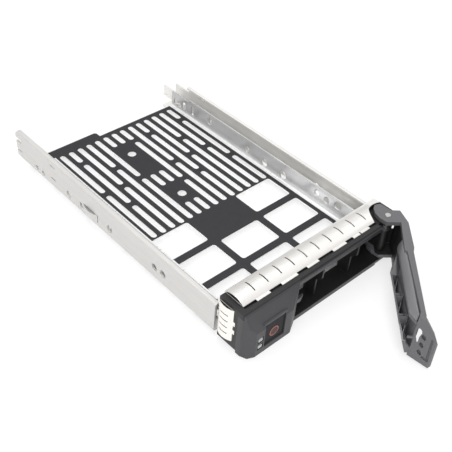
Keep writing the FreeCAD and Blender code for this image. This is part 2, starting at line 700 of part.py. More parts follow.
def latch_slide():
    """The latch: a bar behind the button with a slanted wall, an arm and a bevelled nose."""
    low, high, rear = "latch_low", "latch_low + latch_thick", "-latch_bar + latch_deep"
    wall_x = "-button_x - 2.0"
    base = block("latch_plate", ("-button_x - 4.5", "-latch_bar", low),
                 ("-button_x + 15.5", rear, "latch_low + latch_base"))
    slant = prism("latch_slant", "z", [
        ("-button_x - 4.5", "-latch_bar"), (wall_x, "-latch_bar"), (wall_x + " + latch_deep", rear),
        ("-button_x - 4.5", rear)], low, high)
    end = block("latch_end", ("-button_x + 6.6", "-latch_bar", low), ("-button_x + 15.5", rear, high))
    arm = block("latch_arm", ("-button_x + 10", "-bezel_face + 0.1", low), ("-button_x + 15.5", rear, high))
    nose = prism("latch_nose", "z", [
        ("-button_x + 15.4", "-pivot_y - 3.7"), ("-nose_tip - 2.8", "-pivot_y - 3.7"),
        ("-nose_tip", "-pivot_y - 2.5"), ("-nose_tip", "-pivot_y - 1.9"),
        ("-button_x + 15.4", "-pivot_y - 1.9")], low, high)
    return keep(joined("latch_slide", [base, slant, end, arm, nose]), "latch_slide")


# Springs and pin

def sleeve(name, axis, centre, radius, start, end):
    """A spring's envelope: a sleeve of the coil's outside and inside diameters."""
    outer = rod(name + "_outside", axis, centre, radius, start, end)
    inner = rod(name + "_inside", axis, centre, radius + " - coil_wall", start + " - 1", end + " + 1")
    return keep(without(name, outer, [inner]), name)


def springs_and_pin():
    sleeve("button_spring", "y", ("-button_x", "coil_height"), "coil_radius",
           "-block_face + button_thick + 0.2", "-bezel_back - 4")
    sleeve("latch_spring", "x", ("-latch_bar + latch_deep / 2", "latch_low + latch_thick / 2"),
           "latch_coil", "-bezel_half + 3.2", "-button_x - 4.5")
    sleeve("lever_spring", "z", ("pivot_x", "-pivot_y"), "lever_coil", "lever_coil_low",
           "lever_coil_low + lever_coil_tall")
    keep(rod("lever_pin", "z", ("pivot_x", "-pivot_y"), "pin_radius", "-bezel_low + 0.6",
             "lever_top + 0.2"), "lever_pin")


# Lever, drawn closed with its pivot at the origin: it runs towards -X and its face looks to -Y

def lever():
    """The moulded lever: fork plates on the pin, a front wall, a shelf, a ribbed trough and a tip."""
    head = [("8.9", "3.7"), ("7.5", "6.4"), ("4.8", "7.1"), ("0.9", "6.6"), ("-2.7", "4.5"), ("-5.7", "1.0"),
            ("-5.0", "-lever_face + lever_wall + 1.2"), ("-4.8", "-lever_face - 0.4"), ("4.5", "-6.9"),
            ("4.2", "-2.2"), ("8.4", "2.4")]
    skirt = [("-7.8", "-lever_face - 0.1"), ("-23.8", "-lever_face - 0.7"), ("-27.0", "-lever_face"),
             ("-arm_end", "-lever_face"), ("-tip_end", "-tip_flare"), ("-tip_end - 1.2", "-tip_flare + 1.6"),
             ("-arm_end - 0.4", "-shelf_side - 2.4"), ("-arm_end + 2.4", "-lever_face + lever_wall - 0.4"),
             ("-7.8", "-lever_face + lever_wall")]
    wall = [("4.5", "-6.9"), ("-4.8", "-lever_face - 0.4")] + skirt[1:-1] + [
            ("-27.0", "-lever_face + lever_wall + 0.5"), ("-25.6", "-lever_face + lever_wall + 1.7"),
            ("-5.6", "-lever_face + lever_wall + 0.9"), ("3.4", "-5.6")]
    pieces = [prism("lever_top_plate", "z", head, "lever_top - plate", "lever_top"),
              prism("lever_low_plate", "z", head, "lever_low", "lever_low + plate"),
              prism("lever_front", "z", wall, "lever_low", "lever_top"),
              prism("lever_skirt", "z", skirt, "skirt_low", "lever_low")]
    pieces += lever_shelf() + lever_trough()
    whole = joined("lever_whole", pieces)
    tip_slope = prism("tip_slope", "x", [
        ("-lever_face + 0.4", "lever_top + 1"), ("-lever_face + 0.4", "lever_top"),
        ("-lever_face - 4.4", "lever_top - 6.4"), ("-tip_flare + 0.5", "lever_top - 11.4"),
        ("-tip_flare", "-1"), ("-tip_flare - 2", "-1"), ("-tip_flare - 2", "lever_top + 1")],
        "-tip_end - 3", "-arm_end")
    tip_window = prism("tip_window", "y", [
        ("-arm_end - 0.8", "lever_top - 15.4"), ("-arm_end - 0.8", "lever_top - 8.6"),
        ("-arm_end - 2.8", "lever_top - 6.4"), ("-arm_end - 3.6", "lever_top - 7.4"),
        ("-arm_end - 3.6", "lever_top - 13.2"), ("-arm_end - 2.2", "lever_top - 15.4")],
        "-tip_flare", "-shelf_side - 1")
    latch_window = block("latch_window", ("-arm_end - 4", "-shelf_side", "latch_low - 0.6"),
                         ("-arm_end + 7.5", "2", "latch_low + latch_thick + 0.6"))
    pin_hole = rod("lever_pin_hole", "z", ("0", "0"), "pin_radius + pin_play", "lever_low - 1", "lever_top + 1")
    arm = without("lever_arm", whole, [tip_slope, tip_window, latch_window, pin_hole] + tip_notches())
    arm.Placement = FreeCAD.Placement(V(size("pivot_x"), -size("pivot_y"), 0),
                                      FreeCAD.Rotation(V(0, 0, 1), size("open_angle")))
    arm.setExpression("Placement.Base.x", bound("pivot_x"))
    arm.setExpression("Placement.Base.y", bound("-pivot_y"))
    arm.setExpression("Placement.Rotation.Angle", bound("open_angle"))
    return keep(arm, "lever_arm")


def lever_shelf():
    """The shelf along the inside of the front wall and the web that carries it."""
    shelf = prism("lever_shelf", "z", [
        ("-16.6", "-shelf_side"), ("-16.6", "-lever_face + 0.5"), ("-arm_end + 0.5", "-lever_face + 0.5"),
        ("-arm_end + 1.5", "-shelf_side - 2.6"), ("-arm_end + 6", "-shelf_side")],
        "shelf_top - 1.5", "shelf_top")
    web = prism("lever_web", "z", [
        ("-16.6", "-shelf_side - 0.2"), ("-rib_first", "-shelf_side - 0.5"),
        ("-arm_end + 13", "-shelf_side - 1.9"), ("-arm_end", "-shelf_side - 3.2"),
        ("-arm_end", "-shelf_side - 4.2"), ("-arm_end + 13", "-shelf_side - 2.9"),
        ("-rib_first", "-shelf_side - 1.5"), ("-16.6", "-shelf_side - 1.2")], "lever_low", "shelf_top - 1")
    return [shelf, web]


def tip_notches():
    """Three small pockets, one above the other, in the tip's inner face."""
    return [block("tip_notch_%d" % i, ("-arm_end - 5.6", "-shelf_side - 8.6", "lever_top - " + down),
                  ("-arm_end - 3.8", "-shelf_side - 5", "lever_top - " + down + " + 2"))
            for i, down in enumerate(("12.4", "17.2", "22.2"))]


def lever_trough():
    """The trough behind the web: a slanting rear wall, upright ribs and braces between them."""
    deep = ["-shelf_side - 0.9", "-shelf_side - 1.6", "-shelf_side - 2.4", "-shelf_side - 3.6"]
    slant = "(trough_top - lever_low) * 0.36"
    rear = prism("trough_rear", "x", [
        ("-trough_side", "trough_top"), ("-trough_side - rib", "trough_top"),
        ("-trough_side - rib - " + slant, "lever_low"), ("-trough_side - " + slant, "lever_low")],
        "-arm_end", "-17.5")
    floor = prism("trough_floor", "z", [
        ("-17.5", "-shelf_side - 0.6"), ("-17.5", "-trough_side - " + slant),
        ("-arm_end", "-trough_side - " + slant), ("-arm_end", "-shelf_side - 3.6"),
        ("-arm_end + 13", "-shelf_side - 2.3"), ("-rib_first", "-shelf_side - 0.9")],
        "lever_low", "lever_low + 1.2")
    parts = [rear, floor]
    for i, end in enumerate(deep):
        x = "-rib_first - rib_pitch * %d" % i
        front = "-trough_side - %g" % (0.2 * i + 0.1)
        parts.append(block("trough_rib_%d" % i, (x + " - rib / 2", end, "lever_low"),
                           (x + " + rib / 2", front, "trough_top")))
        if i < 3:
            parts.append(prism("trough_brace_%d" % i, "z", [
                (x, end), (x + " + 1.2", end), (x + " - rib_pitch + 1.0", front + " - 0.3"),
                (x + " - rib_pitch", front + " - 0.3")], "lever_low", "trough_top"))
    below = prism("trough_below", "x", [
        ("-trough_side - 0.01", "trough_top - 0.1"), ("-trough_side - " + slant, "lever_low - 0.1"),
        ("3", "lever_low - 0.1"), ("3", "trough_top - 0.1")], "-arm_end - 1", "-16")
    corner = prism("trough_corner", "z", [
        ("-16", "-shelf_side"), ("-16", "3"), ("-23.5", "3"), ("-22.5", "-trough_side + 0.1")],
        "lever_low - 1", "trough_top + 1")
    return [without("trough", joined("trough_whole", parts), [below, corner])]


# All pieces, checked and saved

keep(coded("tray_pan", tray_pan()), "tray_pan")
keep(coded("insulating_film", insulating_film()), "insulating_film")
keep(coded("left_rail", left_rail()), "left_rail")
keep(coded("right_rail", right_rail()), "right_rail")
keep(coded("top_emi_strip", top_strip()), "top_emi_strip")
keep(coded("bottom_emi_strip", bottom_strip()), "bottom_emi_strip")
keep(coded("left_emi_strip", side_strip(1.3, size("bezel_top") - 2)), "left_emi_strip")
keep(coded("right_emi_strip", mirrored(side_strip(2, size("bezel_top") - 4.4))), "right_emi_strip")
bezel()
for side in ("upper", "lower"):
    keep(light_pipe(side + "_light_pipe", side, "-block_face + 0.1", "-bezel_back"), side + "_light_pipe")
release_button()
button_ring()
button_lens()
latch_slide()
springs_and_pin()
lever()
doc.recompute()

for item in doc.Objects:
    if "Invalid" in item.State or "Error" in item.State:
        raise RuntimeError("%s could not be built: %s" % (item.Name, item.State))
os.makedirs("parts", exist_ok=True)
for item in nodes:
    if item.Shape.isNull() or not item.Shape.isValid() or not item.Shape.Solids:
        raise RuntimeError("%s has no sound solid" % item.Label)
    item.Shape.exportStep("parts/%s.step" % item.Label)
    box = item.Shape.BoundBox
    print("%-18s %d solids, %9.1f mm3, X %.2f..%.2f Y %.2f..%.2f Z %.2f..%.2f" % (
        item.Label, len(item.Shape.Solids), item.Shape.Volume, box.XMin, box.XMax, box.YMin, box.YMax,
        box.ZMin, box.ZMax))
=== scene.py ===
"""Looks for the hot swap drive caddy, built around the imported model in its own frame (metres)."""

import math

import bmesh
import bpy
from mathutils import Matrix, Vector


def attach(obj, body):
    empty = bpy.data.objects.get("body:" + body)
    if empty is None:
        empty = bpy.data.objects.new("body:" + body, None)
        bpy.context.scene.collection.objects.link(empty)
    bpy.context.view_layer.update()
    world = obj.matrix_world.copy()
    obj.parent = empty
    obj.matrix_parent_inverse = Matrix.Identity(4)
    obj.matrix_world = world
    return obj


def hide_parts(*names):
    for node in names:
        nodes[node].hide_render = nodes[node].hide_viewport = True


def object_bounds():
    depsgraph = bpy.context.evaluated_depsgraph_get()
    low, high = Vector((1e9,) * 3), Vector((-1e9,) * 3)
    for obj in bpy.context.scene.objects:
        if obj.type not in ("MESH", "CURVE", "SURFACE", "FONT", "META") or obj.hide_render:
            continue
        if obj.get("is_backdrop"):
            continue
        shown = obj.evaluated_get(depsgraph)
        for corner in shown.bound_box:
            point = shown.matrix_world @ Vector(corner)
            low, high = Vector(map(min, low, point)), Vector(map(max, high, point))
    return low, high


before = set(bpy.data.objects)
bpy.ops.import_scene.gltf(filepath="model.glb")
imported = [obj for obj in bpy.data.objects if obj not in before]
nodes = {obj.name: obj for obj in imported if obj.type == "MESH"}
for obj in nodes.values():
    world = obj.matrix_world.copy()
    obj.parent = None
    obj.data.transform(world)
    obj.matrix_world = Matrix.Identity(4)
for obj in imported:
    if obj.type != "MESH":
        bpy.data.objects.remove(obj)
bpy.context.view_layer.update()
MM = 0.001

# Two frames for points in millimetres. The part's own has +X right, +Y back and +Z up. The closed
# lever's goes along it from its pin, across it to the front, and up.
PART = Matrix.Identity(4)
PIN = Vector((49.7, -142.9, 0))
OPEN_BY = math.radians(45)
LEVER = (Matrix.Translation(PIN * MM) @ Matrix.Rotation(OPEN_BY, 4, "Z")
         @ Matrix.Diagonal((-1, -1, 1, 1)))


# Node trees: short calls for the nodes that the materials, the floor and the world share

class Tree:
    """A node tree of a material or of the world."""

    bevel_samples = 6

    # How much of its length the rounded normal keeps along the flat one, on an edge and beside it
    edge_share, flat_share = 0.75, 0.99

    def __init__(self, tree):
        self.tree = tree

    def add(self, kind, **values):
        """A new node with its settings."""
        node = self.tree.nodes.new("ShaderNode" + kind)
        for key, value in values.items():
            setattr(node, key, value)
        return node

    def link(self, source, target):
        """Links an output to an input."""
        self.tree.links.new(source, target)

    def put(self, socket, value):
        """Sets a socket to a number or links it to an output."""
        if isinstance(value, bpy.types.NodeSocket):
            self.link(value, socket)
        else:
            socket.default_value = value

    def place(self, stretch=(1, 1, 1), closed=False):
        """The part's own coordinates or, if closed, those of the closed lever."""
        mapping = self.add("Mapping")
        mapping.inputs["Scale"].default_value = stretch
        if closed:
            back = LEVER.inverted()
            mapping.inputs["Location"].default_value = back.to_translation()
            mapping.inputs["Rotation"].default_value = back.to_euler()
        self.link(self.add("TexCoord").outputs["Object"], mapping.inputs["Vector"])
        return mapping.outputs["Vector"]

    def axes(self, vector):
        """The outputs X, Y and Z of a vector."""
        split = self.add("SeparateXYZ")
        self.link(vector, split.inputs["Vector"])
        return split.outputs

    def noise(self, scale, detail, stretch=(1, 1, 1), rough=0.5):
        """Clouds between 0 and 1."""
        node = self.add("TexNoise")
        node.inputs["Scale"].default_value = scale
        node.inputs["Detail"].default_value = detail
        node.inputs["Roughness"].default_value = rough
        self.link(self.place(stretch), node.inputs["Vector"])
        return node.outputs["Fac"]

    def remap(self, value, low, high, out_low, out_high):
        """A value's range stretched to another, and cut off at its ends."""
        node = self.add("MapRange")
        self.put(node.inputs["Value"], value)
        sockets = ("From Min", "From Max", "To Min", "To Max")
        for socket, number in zip(sockets, (low, high, out_low, out_high)):
            node.inputs[socket].default_value = number
        return node.outputs["Result"]

    def math(self, operation, first, second):
        """A sum, product, limit or comparison of two values."""
        node = self.add("Math", operation=operation)
        self.put(node.inputs[0], first)
        self.put(node.inputs[1], second)
        return node.outputs["Value"]

    def mix(self, factor, first, second):
        """Two colours mixed. Their sockets are found by number, because the names repeat."""
        node = self.add("Mix", data_type="RGBA")
        self.put(node.inputs["Factor"], factor)
        for socket, colour in ((node.inputs[6], first), (node.inputs[7], second)):
            if isinstance(colour, tuple):
                socket.default_value = colour + (1.0,)
            else:
                self.link(colour, socket)
        return node.outputs[2]

    def within(self, low, high, closed=False):
        """1 inside a box given in millimetres, 0 outside."""
        outputs = self.axes(self.place(closed=closed))
        inside = None
        for axis, start, end in zip("XYZ", low, high):
            for value, operation in ((start, "GREATER_THAN"), (end, "LESS_THAN")):
                test = self.math(operation, outputs[axis], value * MM)
                inside = test if inside is None else self.math("MULTIPLY", inside, test)
        return inside

    def soft_edge(self, radius):
        """A rounded-edge normal and a mask that is 1 on edges."""
        bevel = self.add("Bevel", samples=self.bevel_samples)
        bevel.inputs["Radius"].default_value = radius
        dot = self.add("VectorMath", operation="DOT_PRODUCT")
        self.link(bevel.outputs["Normal"], dot.inputs[0])
        self.link(self.add("NewGeometry").outputs["Normal"], dot.inputs[1])
        edges = self.remap(dot.outputs["Value"], self.edge_share, self.flat_share, 1.0, 0.0)
        return bevel.outputs["Normal"], edges

    def bump(self, height, strength, distance, normal):
        """A normal with small hills laid over another."""
        node = self.add("Bump")
        node.inputs["Strength"].default_value = strength
        node.inputs["Distance"].default_value = distance
        self.link(height, node.inputs["Height"])
        self.link(normal, node.inputs["Normal"])
        return node.outputs["Normal"]


class Shader(Tree):
    """A new material with its node tree."""

    def __init__(self, name):
        self.material = bpy.data.materials.new(name)
        self.material.use_nodes = True
        super().__init__(self.material.node_tree)
        self.bsdf = self.tree.nodes["Principled BSDF"]


# Materials: every one has its own grain, colour variation, roughness map and softened edges

# Boxes with a low and a high corner, in millimetres, where the picture shows another tone. The
# flange's box holds painted reflection. The strips' boxes, the bezel's boxes and the lever's head
# and web boxes hold painted shade, and the lever's low trough holds painted light. The lever's
# boxes are in the closed lever's frame.
FLANGE = ((49, -130, 0.6), (53.5, 56, 30))
TOP_STRIP_INSIDE = ((-54.25, -142.1, 24.35), (43.0, -129.6, 24.8))
LEFT_STRIP_INSIDE = ((-58.15, -140.1, 1.4), (-57.7, -130.3, 22.3))
BEZEL_RECESS = ((-21.3, -150.2, -1.9), (57.0, -131.0, 20.9))
BEZEL_UNDER_TOP_STRIP = ((-61, -146.7, 20.9), (61, -120, 28))
BEZEL_UNDER_LEFT_STRIP = ((-61, -142.8, -6), (-55, -120, 20.9))
LEVER_HEAD_INSIDE = ((-4, -3, 0.6), (17.2, 7.2, 21.95))
LEVER_WEB_FACE = ((17, 3.8, 8), (67, 4.7, 16.8))
LEVER_LOW_TROUGH = ((30, -3, -1), (70, 6.4, 9.3))
# Painted shade: a near-black metal for the strips' parts inside the bezel
PAINTED_SHADE_METAL = (0.035, 0.034, 0.032)

# Where along Y the flange begins to be painted darker, and where it is darkest
FLANGE_BRIGHT_END, FLANGE_DARKEST_END = -120, 40


def tint(colour, share, lift=0.0):
    """A share of a colour, raised by a little, and at most 1."""
    return tuple(min(c * share + lift, 1) for c in colour)


def sheet_metal(name, colour, rough, grain, metallic=0.85, edge=0.25, radius=0.25, inside=None,
                painted_reflection_share=None):
    """Satin sheet steel: rolled grain along one direction, faint clouds and brighter cut edges.
    The box inside is painted dark as shade. The last argument is the share of the colour where
    the flange is painted darker: in patches that are painted reflection, and towards the back."""
    dark_cloud, pale_cloud, dark_line, bright_edge = 0.93, 1.05, 0.88, 1.25
    smoother, rougher = 0.06, 0.07
    grain_strength, grain_deep = 0.12, 0.04
    s = Shader(name)
    normal, edges = s.soft_edge(radius * MM)
    clouds = s.noise(scale=28, detail=4)
    lines = s.noise(scale=1, detail=3, stretch=grain)
    streaks = s.remap(lines, low=0.35, high=0.7, out_low=0.0, out_high=0.35)
    tone = s.mix(clouds, tint(colour, dark_cloud), tint(colour, pale_cloud))
    tone = s.mix(streaks, tone, tint(colour, dark_line))
    tone = s.mix(s.math("MULTIPLY", edges, edge), tone, tint(colour, bright_edge))
    # Painted reflection: the flange is darkened in patches that stand for its mirror-like reflection, and
    # is darker towards the back
    if painted_reflection_share:
        most_at_back, most_in_patches = 0.8, 0.6
        depth = s.axes(s.place())["Y"]
        back = s.remap(depth, FLANGE_BRIGHT_END * MM, FLANGE_DARKEST_END * MM, 0.0, 1.0)
        spots = s.noise(scale=34, detail=2, stretch=(1, 0.6, 1.6))
        patches = s.remap(spots, low=0.44, high=0.56, out_low=0.0, out_high=1.0)
        darkening = s.math("MAXIMUM", s.math("MULTIPLY", back, most_at_back),
                      s.math("MULTIPLY", patches, most_in_patches))
        tone = s.mix(s.math("MULTIPLY", darkening, s.within(*FLANGE)), tone, tint(colour, painted_reflection_share))
    if inside:
        # Painted shade on the box inside
        tone = s.mix(s.within(*inside), tone, PAINTED_SHADE_METAL)
    s.link(tone, s.bsdf.inputs["Base Color"])
    s.bsdf.inputs["Metallic"].default_value = metallic
    sheen = s.remap(s.math("ADD", clouds, lines), low=0.6, high=1.4,
                    out_low=rough - smoother, out_high=rough + rougher)
    s.link(sheen, s.bsdf.inputs["Roughness"])
    s.link(s.bump(lines, grain_strength, grain_deep * MM, normal), s.bsdf.inputs["Normal"])
    return s.material


def moulded(name, colour, rough, texture=0.25, edge=0.35, radius=0.45, coat=0.0, inside=(), closed=False,
            gloss=0.5):
    """Moulded plastic: fine erosion texture, slight clouds and paler rubbed edges. Each entry of
    inside is a share of the colour and the box that has it: a share below 1 is painted shade, one
    above 1 is painted light."""
    dark_cloud, pale_cloud = 0.9, 1.1
    least_rubbed, rubbed_share, rubbed_lift = 0.4, 2.2, 0.03
    smoother, rougher = 0.05, 0.08
    grain_deep = 0.05
    s = Shader(name)
    normal, edges = s.soft_edge(radius * MM)
    clouds = s.noise(scale=35, detail=3)
    grain = s.noise(scale=5200, detail=2)
    scuffs = s.noise(scale=160, detail=5, stretch=(1, 1, 0.35), rough=0.65)
    wear = s.remap(scuffs, low=0.3, high=0.7, out_low=edge * least_rubbed, out_high=edge)
    tone = s.mix(clouds, tint(colour, dark_cloud), tint(colour, pale_cloud))
    tone = s.mix(s.math("MULTIPLY", edges, wear), tone, tint(colour, rubbed_share, rubbed_lift))
    # Painted shade and painted light in boxes
    for share, (low, high) in inside:
        tone = s.mix(s.within(low, high, closed), tone, tint(colour, share))
    sheen = s.remap(scuffs, low=0.3, high=0.75, out_low=rough - smoother, out_high=rough + rougher)
    s.link(tone, s.bsdf.inputs["Base Color"])
    s.link(sheen, s.bsdf.inputs["Roughness"])
    s.link(s.bump(grain, texture, grain_deep * MM, normal), s.bsdf.inputs["Normal"])
    s.bsdf.inputs["Specular IOR Level"].default_value = gloss
    s.bsdf.inputs["Coat Weight"].default_value = coat
    return s.material


MATERIALS = {
    # The pan's flange holds painted reflection, darker in patches and towards the back
    "tray_pan": sheet_metal(
        "galvanised", (0.93, 0.93, 0.93), rough=0.30, grain=(60, 900, 60), metallic=0.5, painted_reflection_share=0.45),
    "left_rail": sheet_metal(
        "rail_steel", (0.62, 0.61, 0.595), rough=0.50, grain=(300, 30, 900), metallic=0.35),
    # Painted light: the right rail's steel is a paler copy of the left rail's, to light its face in the
    # shade behind the flange
    "right_rail": sheet_metal(
        "rail_steel_painted_paler", (0.80, 0.79, 0.76), rough=0.45, grain=(300, 30, 900), metallic=0.35),
    # The top and left strips' boxes inside the bezel hold painted shade
    "top_emi_strip": sheet_metal(
        "nickel_sheet", (0.94, 0.92, 0.89), rough=0.30, grain=(40, 900, 900), metallic=0.7,
        edge=0.3, radius=0.12, inside=TOP_STRIP_INSIDE),
    "left_emi_strip": sheet_metal(
        "side_nickel_sheet", (0.94, 0.91, 0.86), rough=0.30, grain=(900, 900, 40), metallic=0.7,
        edge=0.3, radius=0.12, inside=LEFT_STRIP_INSIDE),
    "insulating_film": moulded(
        "film", (0.012, 0.012, 0.015), rough=0.5, texture=0.12, edge=0.15, radius=0.1),
    # Painted shade: the recess and the parts under the strips are a fifth as bright
    "front_bezel": moulded(
        "bezel_plastic", (0.044, 0.043, 0.047), rough=0.46,
        inside=((0.2, BEZEL_RECESS), (0.2, BEZEL_UNDER_TOP_STRIP), (0.2, BEZEL_UNDER_LEFT_STRIP))),
    # Painted shade in the head's inside and on the web's face; the low trough is painted lighter as
    # painted light
    "lever_arm": moulded(
        "lever_plastic", (0.115, 0.113, 0.120), rough=0.46, closed=True,
        inside=((0.12, LEVER_HEAD_INSIDE), (0.4, LEVER_WEB_FACE), (2.2, LEVER_LOW_TROUGH))),
    # Painted light: the lining is the lever's plastic painted lighter
    "lining": moulded("lever_plastic_painted_lighter", (0.20, 0.197, 0.205), rough=0.5),
    "release_button": moulded(
        "button_plastic", (0.018, 0.018, 0.021), rough=0.6, texture=0.12, edge=0.3, radius=0.3, gloss=0.2),
    "button_ring": moulded(
        "ring_plastic", (0.32, 0.115, 0.085), rough=0.5, texture=0.1, edge=0.1, radius=0.1),
    "button_lens": moulded(
        "lens_plastic", (0.06, 0.018, 0.016), rough=0.55, texture=0.05, edge=0.1, radius=0.1),
    "latch_slide": moulded("latch_plastic", (0.07, 0.07, 0.075), rough=0.4),
    "upper_light_pipe": moulded(
        "light_pipe", (0.42, 0.43, 0.43), rough=0.25, texture=0.05, edge=0.1, radius=0.1, coat=0.4),
    "lever_spring": sheet_metal(
        "spring_wire", (0.10, 0.10, 0.10), rough=0.35, grain=(900, 900, 60), metallic=0.8,
        edge=0.2, radius=0.1),
    "lever_pin": sheet_metal(
        "pin_steel", (0.75, 0.75, 0.73), rough=0.28, grain=(900, 900, 60), metallic=0.95,
        edge=0.3, radius=0.15),
}
SAME = {
    "bottom_emi_strip": "top_emi_strip",
    "right_emi_strip": "top_emi_strip",
    "lower_light_pipe": "upper_light_pipe",
    "button_spring": "lever_spring",
    "latch_spring": "lever_spring",
}


def paint(obj, material):
    """Gives an object one material in place of those that it has."""
    obj.data.materials.clear()
    obj.data.materials.append(material)


for name, obj in nodes.items():
    paint(obj, MATERIALS[SAME.get(name, name)])


# Springs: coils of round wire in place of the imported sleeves

AXIS_ORDER = {"x": (2, 0, 1), "y": (0, 2, 1), "z": (0, 1, 2)}
COIL_STEPS = 18
FLAT_TURN = 0.5


def coil(node, centre, axis, radius, wire, turns, start, end):
    """A closed-end coil from start to end along an axis, in millimetres; it stands for its sleeve."""
    path = []
    for i in range(turns * COIL_STEPS + 1):
        turn = i / COIL_STEPS
        climbed = min(max((turn - FLAT_TURN) / (turns - 2 * FLAT_TURN), 0.0), 1.0)
        level = wire + (end - start - 2 * wire) * climbed
        angle = 2 * math.pi * turn
        point = (radius * math.cos(angle), radius * math.sin(angle), start + level)
        path.append(Vector([point[number] for number in AXIS_ORDER[axis]]) + Vector(centre))
    curve = bpy.data.curves.new(node + "_coil", "CURVE")
    curve.dimensions = "3D"
    curve.bevel_depth = wire * MM
    curve.bevel_resolution = 3
    curve.use_fill_caps = True
    spline = curve.splines.new("POLY")
    spline.points.add(len(path) - 1)
    for point, place in zip(spline.points, path):
        point.co = tuple(place * MM) + (1.0,)
    obj = bpy.data.objects.new(node + "_coil", curve)
    bpy.context.collection.objects.link(obj)
    curve.materials.append(MATERIALS["lever_spring"])
    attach(obj, "tray")
    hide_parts(node)


coil("button_spring", (-40, 0, 3.0), "y", radius=1.72, wire=0.2, turns=8, start=-145.5, end=-134.1)
coil("latch_spring", (0, -138, 8.5), "x", radius=1.12, wire=0.16, turns=9, start=-54.6, end=-44.5)
coil("lever_spring", PIN, "z", radius=3.2, wire=0.28, turns=7, start=15.6, end=20.8)


# Solids: lofts through rings of points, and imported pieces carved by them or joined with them

def loft(name, rings, place=LEVER):
    """A solid through rings of points in millimetres, in the closed lever's frame or another."""
    mesh = bmesh.new()
    loops = [[mesh.verts.new(place @ (Vector(point) * MM)) for point in ring] for ring in rings]
    for first, second in zip(loops, loops[1:]):
        for i in range(len(first)):
            j = (i + 1) % len(first)
            mesh.faces.new((first[i], first[j], second[j], second[i]))
    mesh.faces.new(loops[0])
    mesh.faces.new(loops[-1])
    bmesh.ops.recalc_face_normals(mesh, faces=mesh.faces)
    data = bpy.data.meshes.new(name)
    mesh.to_mesh(data)
    mesh.free()
    obj = bpy.data.objects.new(name, data)
    bpy.context.collection.objects.link(obj)
    return obj


def upright(name, outline, low, high):
    """A solid of the lever that stands on an outline (along, across) from one height to another."""
    return loft(name, [[(u, v, level) for u, v in outline] for level in (low, high)])


def oval_ring(wide, tall, steps, lean=0.0):
    """Points around an oval with its half sizes; lean moves its upper end sideways."""
    angles = [2 * math.pi * i / steps for i in range(steps)]
    return [(wide * math.cos(a) + lean * math.sin(a), tall * math.sin(a)) for a in angles]


def copy_of(node, name):
    """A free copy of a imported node, which itself stays as it is."""
    obj = bpy.data.objects.new(name, nodes[node].data.copy())
    bpy.context.collection.objects.link(obj)
    return obj


def carve(target, tools, operation):
    """The target's mesh less the tools, or joined with them."""
    for tool in tools:
        change = target.modifiers.new("carve", "BOOLEAN")
        change.operation = operation
        change.solver = "EXACT"
        change.object = tool
    bpy.context.view_layer.update()
    mesh = bpy.data.meshes.new_from_object(target.evaluated_get(bpy.context.evaluated_depsgraph_get()))
    target.modifiers.clear()
    target.data = mesh
    for tool in tools:
        bpy.data.objects.remove(tool)


def finish_piece(obj, body, node, material, smooth=False):
    """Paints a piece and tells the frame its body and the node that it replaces."""
    paint(obj, MATERIALS[material])
    for polygon in obj.data.polygons:
        polygon.use_smooth = smooth
    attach(obj, body)
    if node:
        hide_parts(node)


# Lever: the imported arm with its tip's opening, pockets and groove, its lining, cheek and guard

# The tip's inner face: where it starts, the way along it, the way into it, and the line of sight
FACE_START = Vector((69.9, 6.6, 0))
FACE_WAY = Vector((0.638, 0.770, 0))
FACE_INTO = Vector((-0.770, 0.638, 0))
SIGHT = Vector((-0.875, 0.355, -1.0))

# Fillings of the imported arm's three straight notches and of its straight opening (along, across)
NOTCH_CORNER = ((73.2, 10.58), (73.2, 13.0), (75.2, 13.0))
NOTCH_HEIGHTS = (12.0, 7.2, 2.2)
NOTCH_TALL = 2.0
NOTCH_OVERLAP = 0.05
STRAIGHT_OPENING = ((70.2, 6.98), (73.2, 10.59), (73.2, 13.88), (70.2, 10.56))
STRAIGHT_OPENING_HEIGHTS = (8.9, 18.1)

# The rib at the trough's far end, the low part beside the head that is cut off, and the tail's guard
END_RIB = ((69.7, 4.0), (70.38, 4.0), (70.38, 7.15), (69.7, 7.15))
END_RIB_HEIGHTS = (9.0, 10.0)
STUB = ((15.0, -3.0), (28.8, -3.0), (28.8, 4.3), (15.0, 4.3))
STUB_HEIGHTS = (-3.0, 12.0)
GUARD = ((-5.2, 2.6), (-4.4, 2.6), (-4.4, 6.4), (-5.2, 6.4))
GUARD_HEIGHTS = (-0.6, 11.0)

# Outlines (along the face, height) cut into the tip, each from a little off the face to its depth
WINDOW = ((1.16, 17.1), (2.32, 17.4), (3.27, 16.7), (3.72, 15.4), (3.31, 13.7), (2.93, 12.1),
          (2.99, 8.8), (2.54, 8.2), (1.42, 11.1), (1.01, 13.1), (0.98, 15.0))
WINDOW_DEPTHS = (-0.8, 6.0)
POCKET = ((-1.3, -0.1), (-0.6, 1.6), (0.75, 1.0), (1.35, -1.0), (0.6, -1.75), (-0.65, -1.3))
POCKET_HEIGHTS = (13.4, 8.1, 2.9)
POCKET_ALONG = 4.96
POCKET_DRIFT = 0.015
POCKET_DEPTHS = (-0.5, 1.5)
GROOVE = ((8.75, 15.4), (9.9, 15.0), (10.55, 0.8), (9.9, -0.4), (6.7, 0.3), (7.0, 1.7), (9.15, 1.5))
GROOVE_DEPTHS = (-0.5, 0.9)

# The cut under the tip's corner: an outline (across, height) between two places along the lever
CHIN = ((3.1, 9.1), (6.8, 9.1), (6.95, 4.2), (6.8, 2.4), (4.4, 5.0))
CHIN_ENDS = (70.9, 67.6)

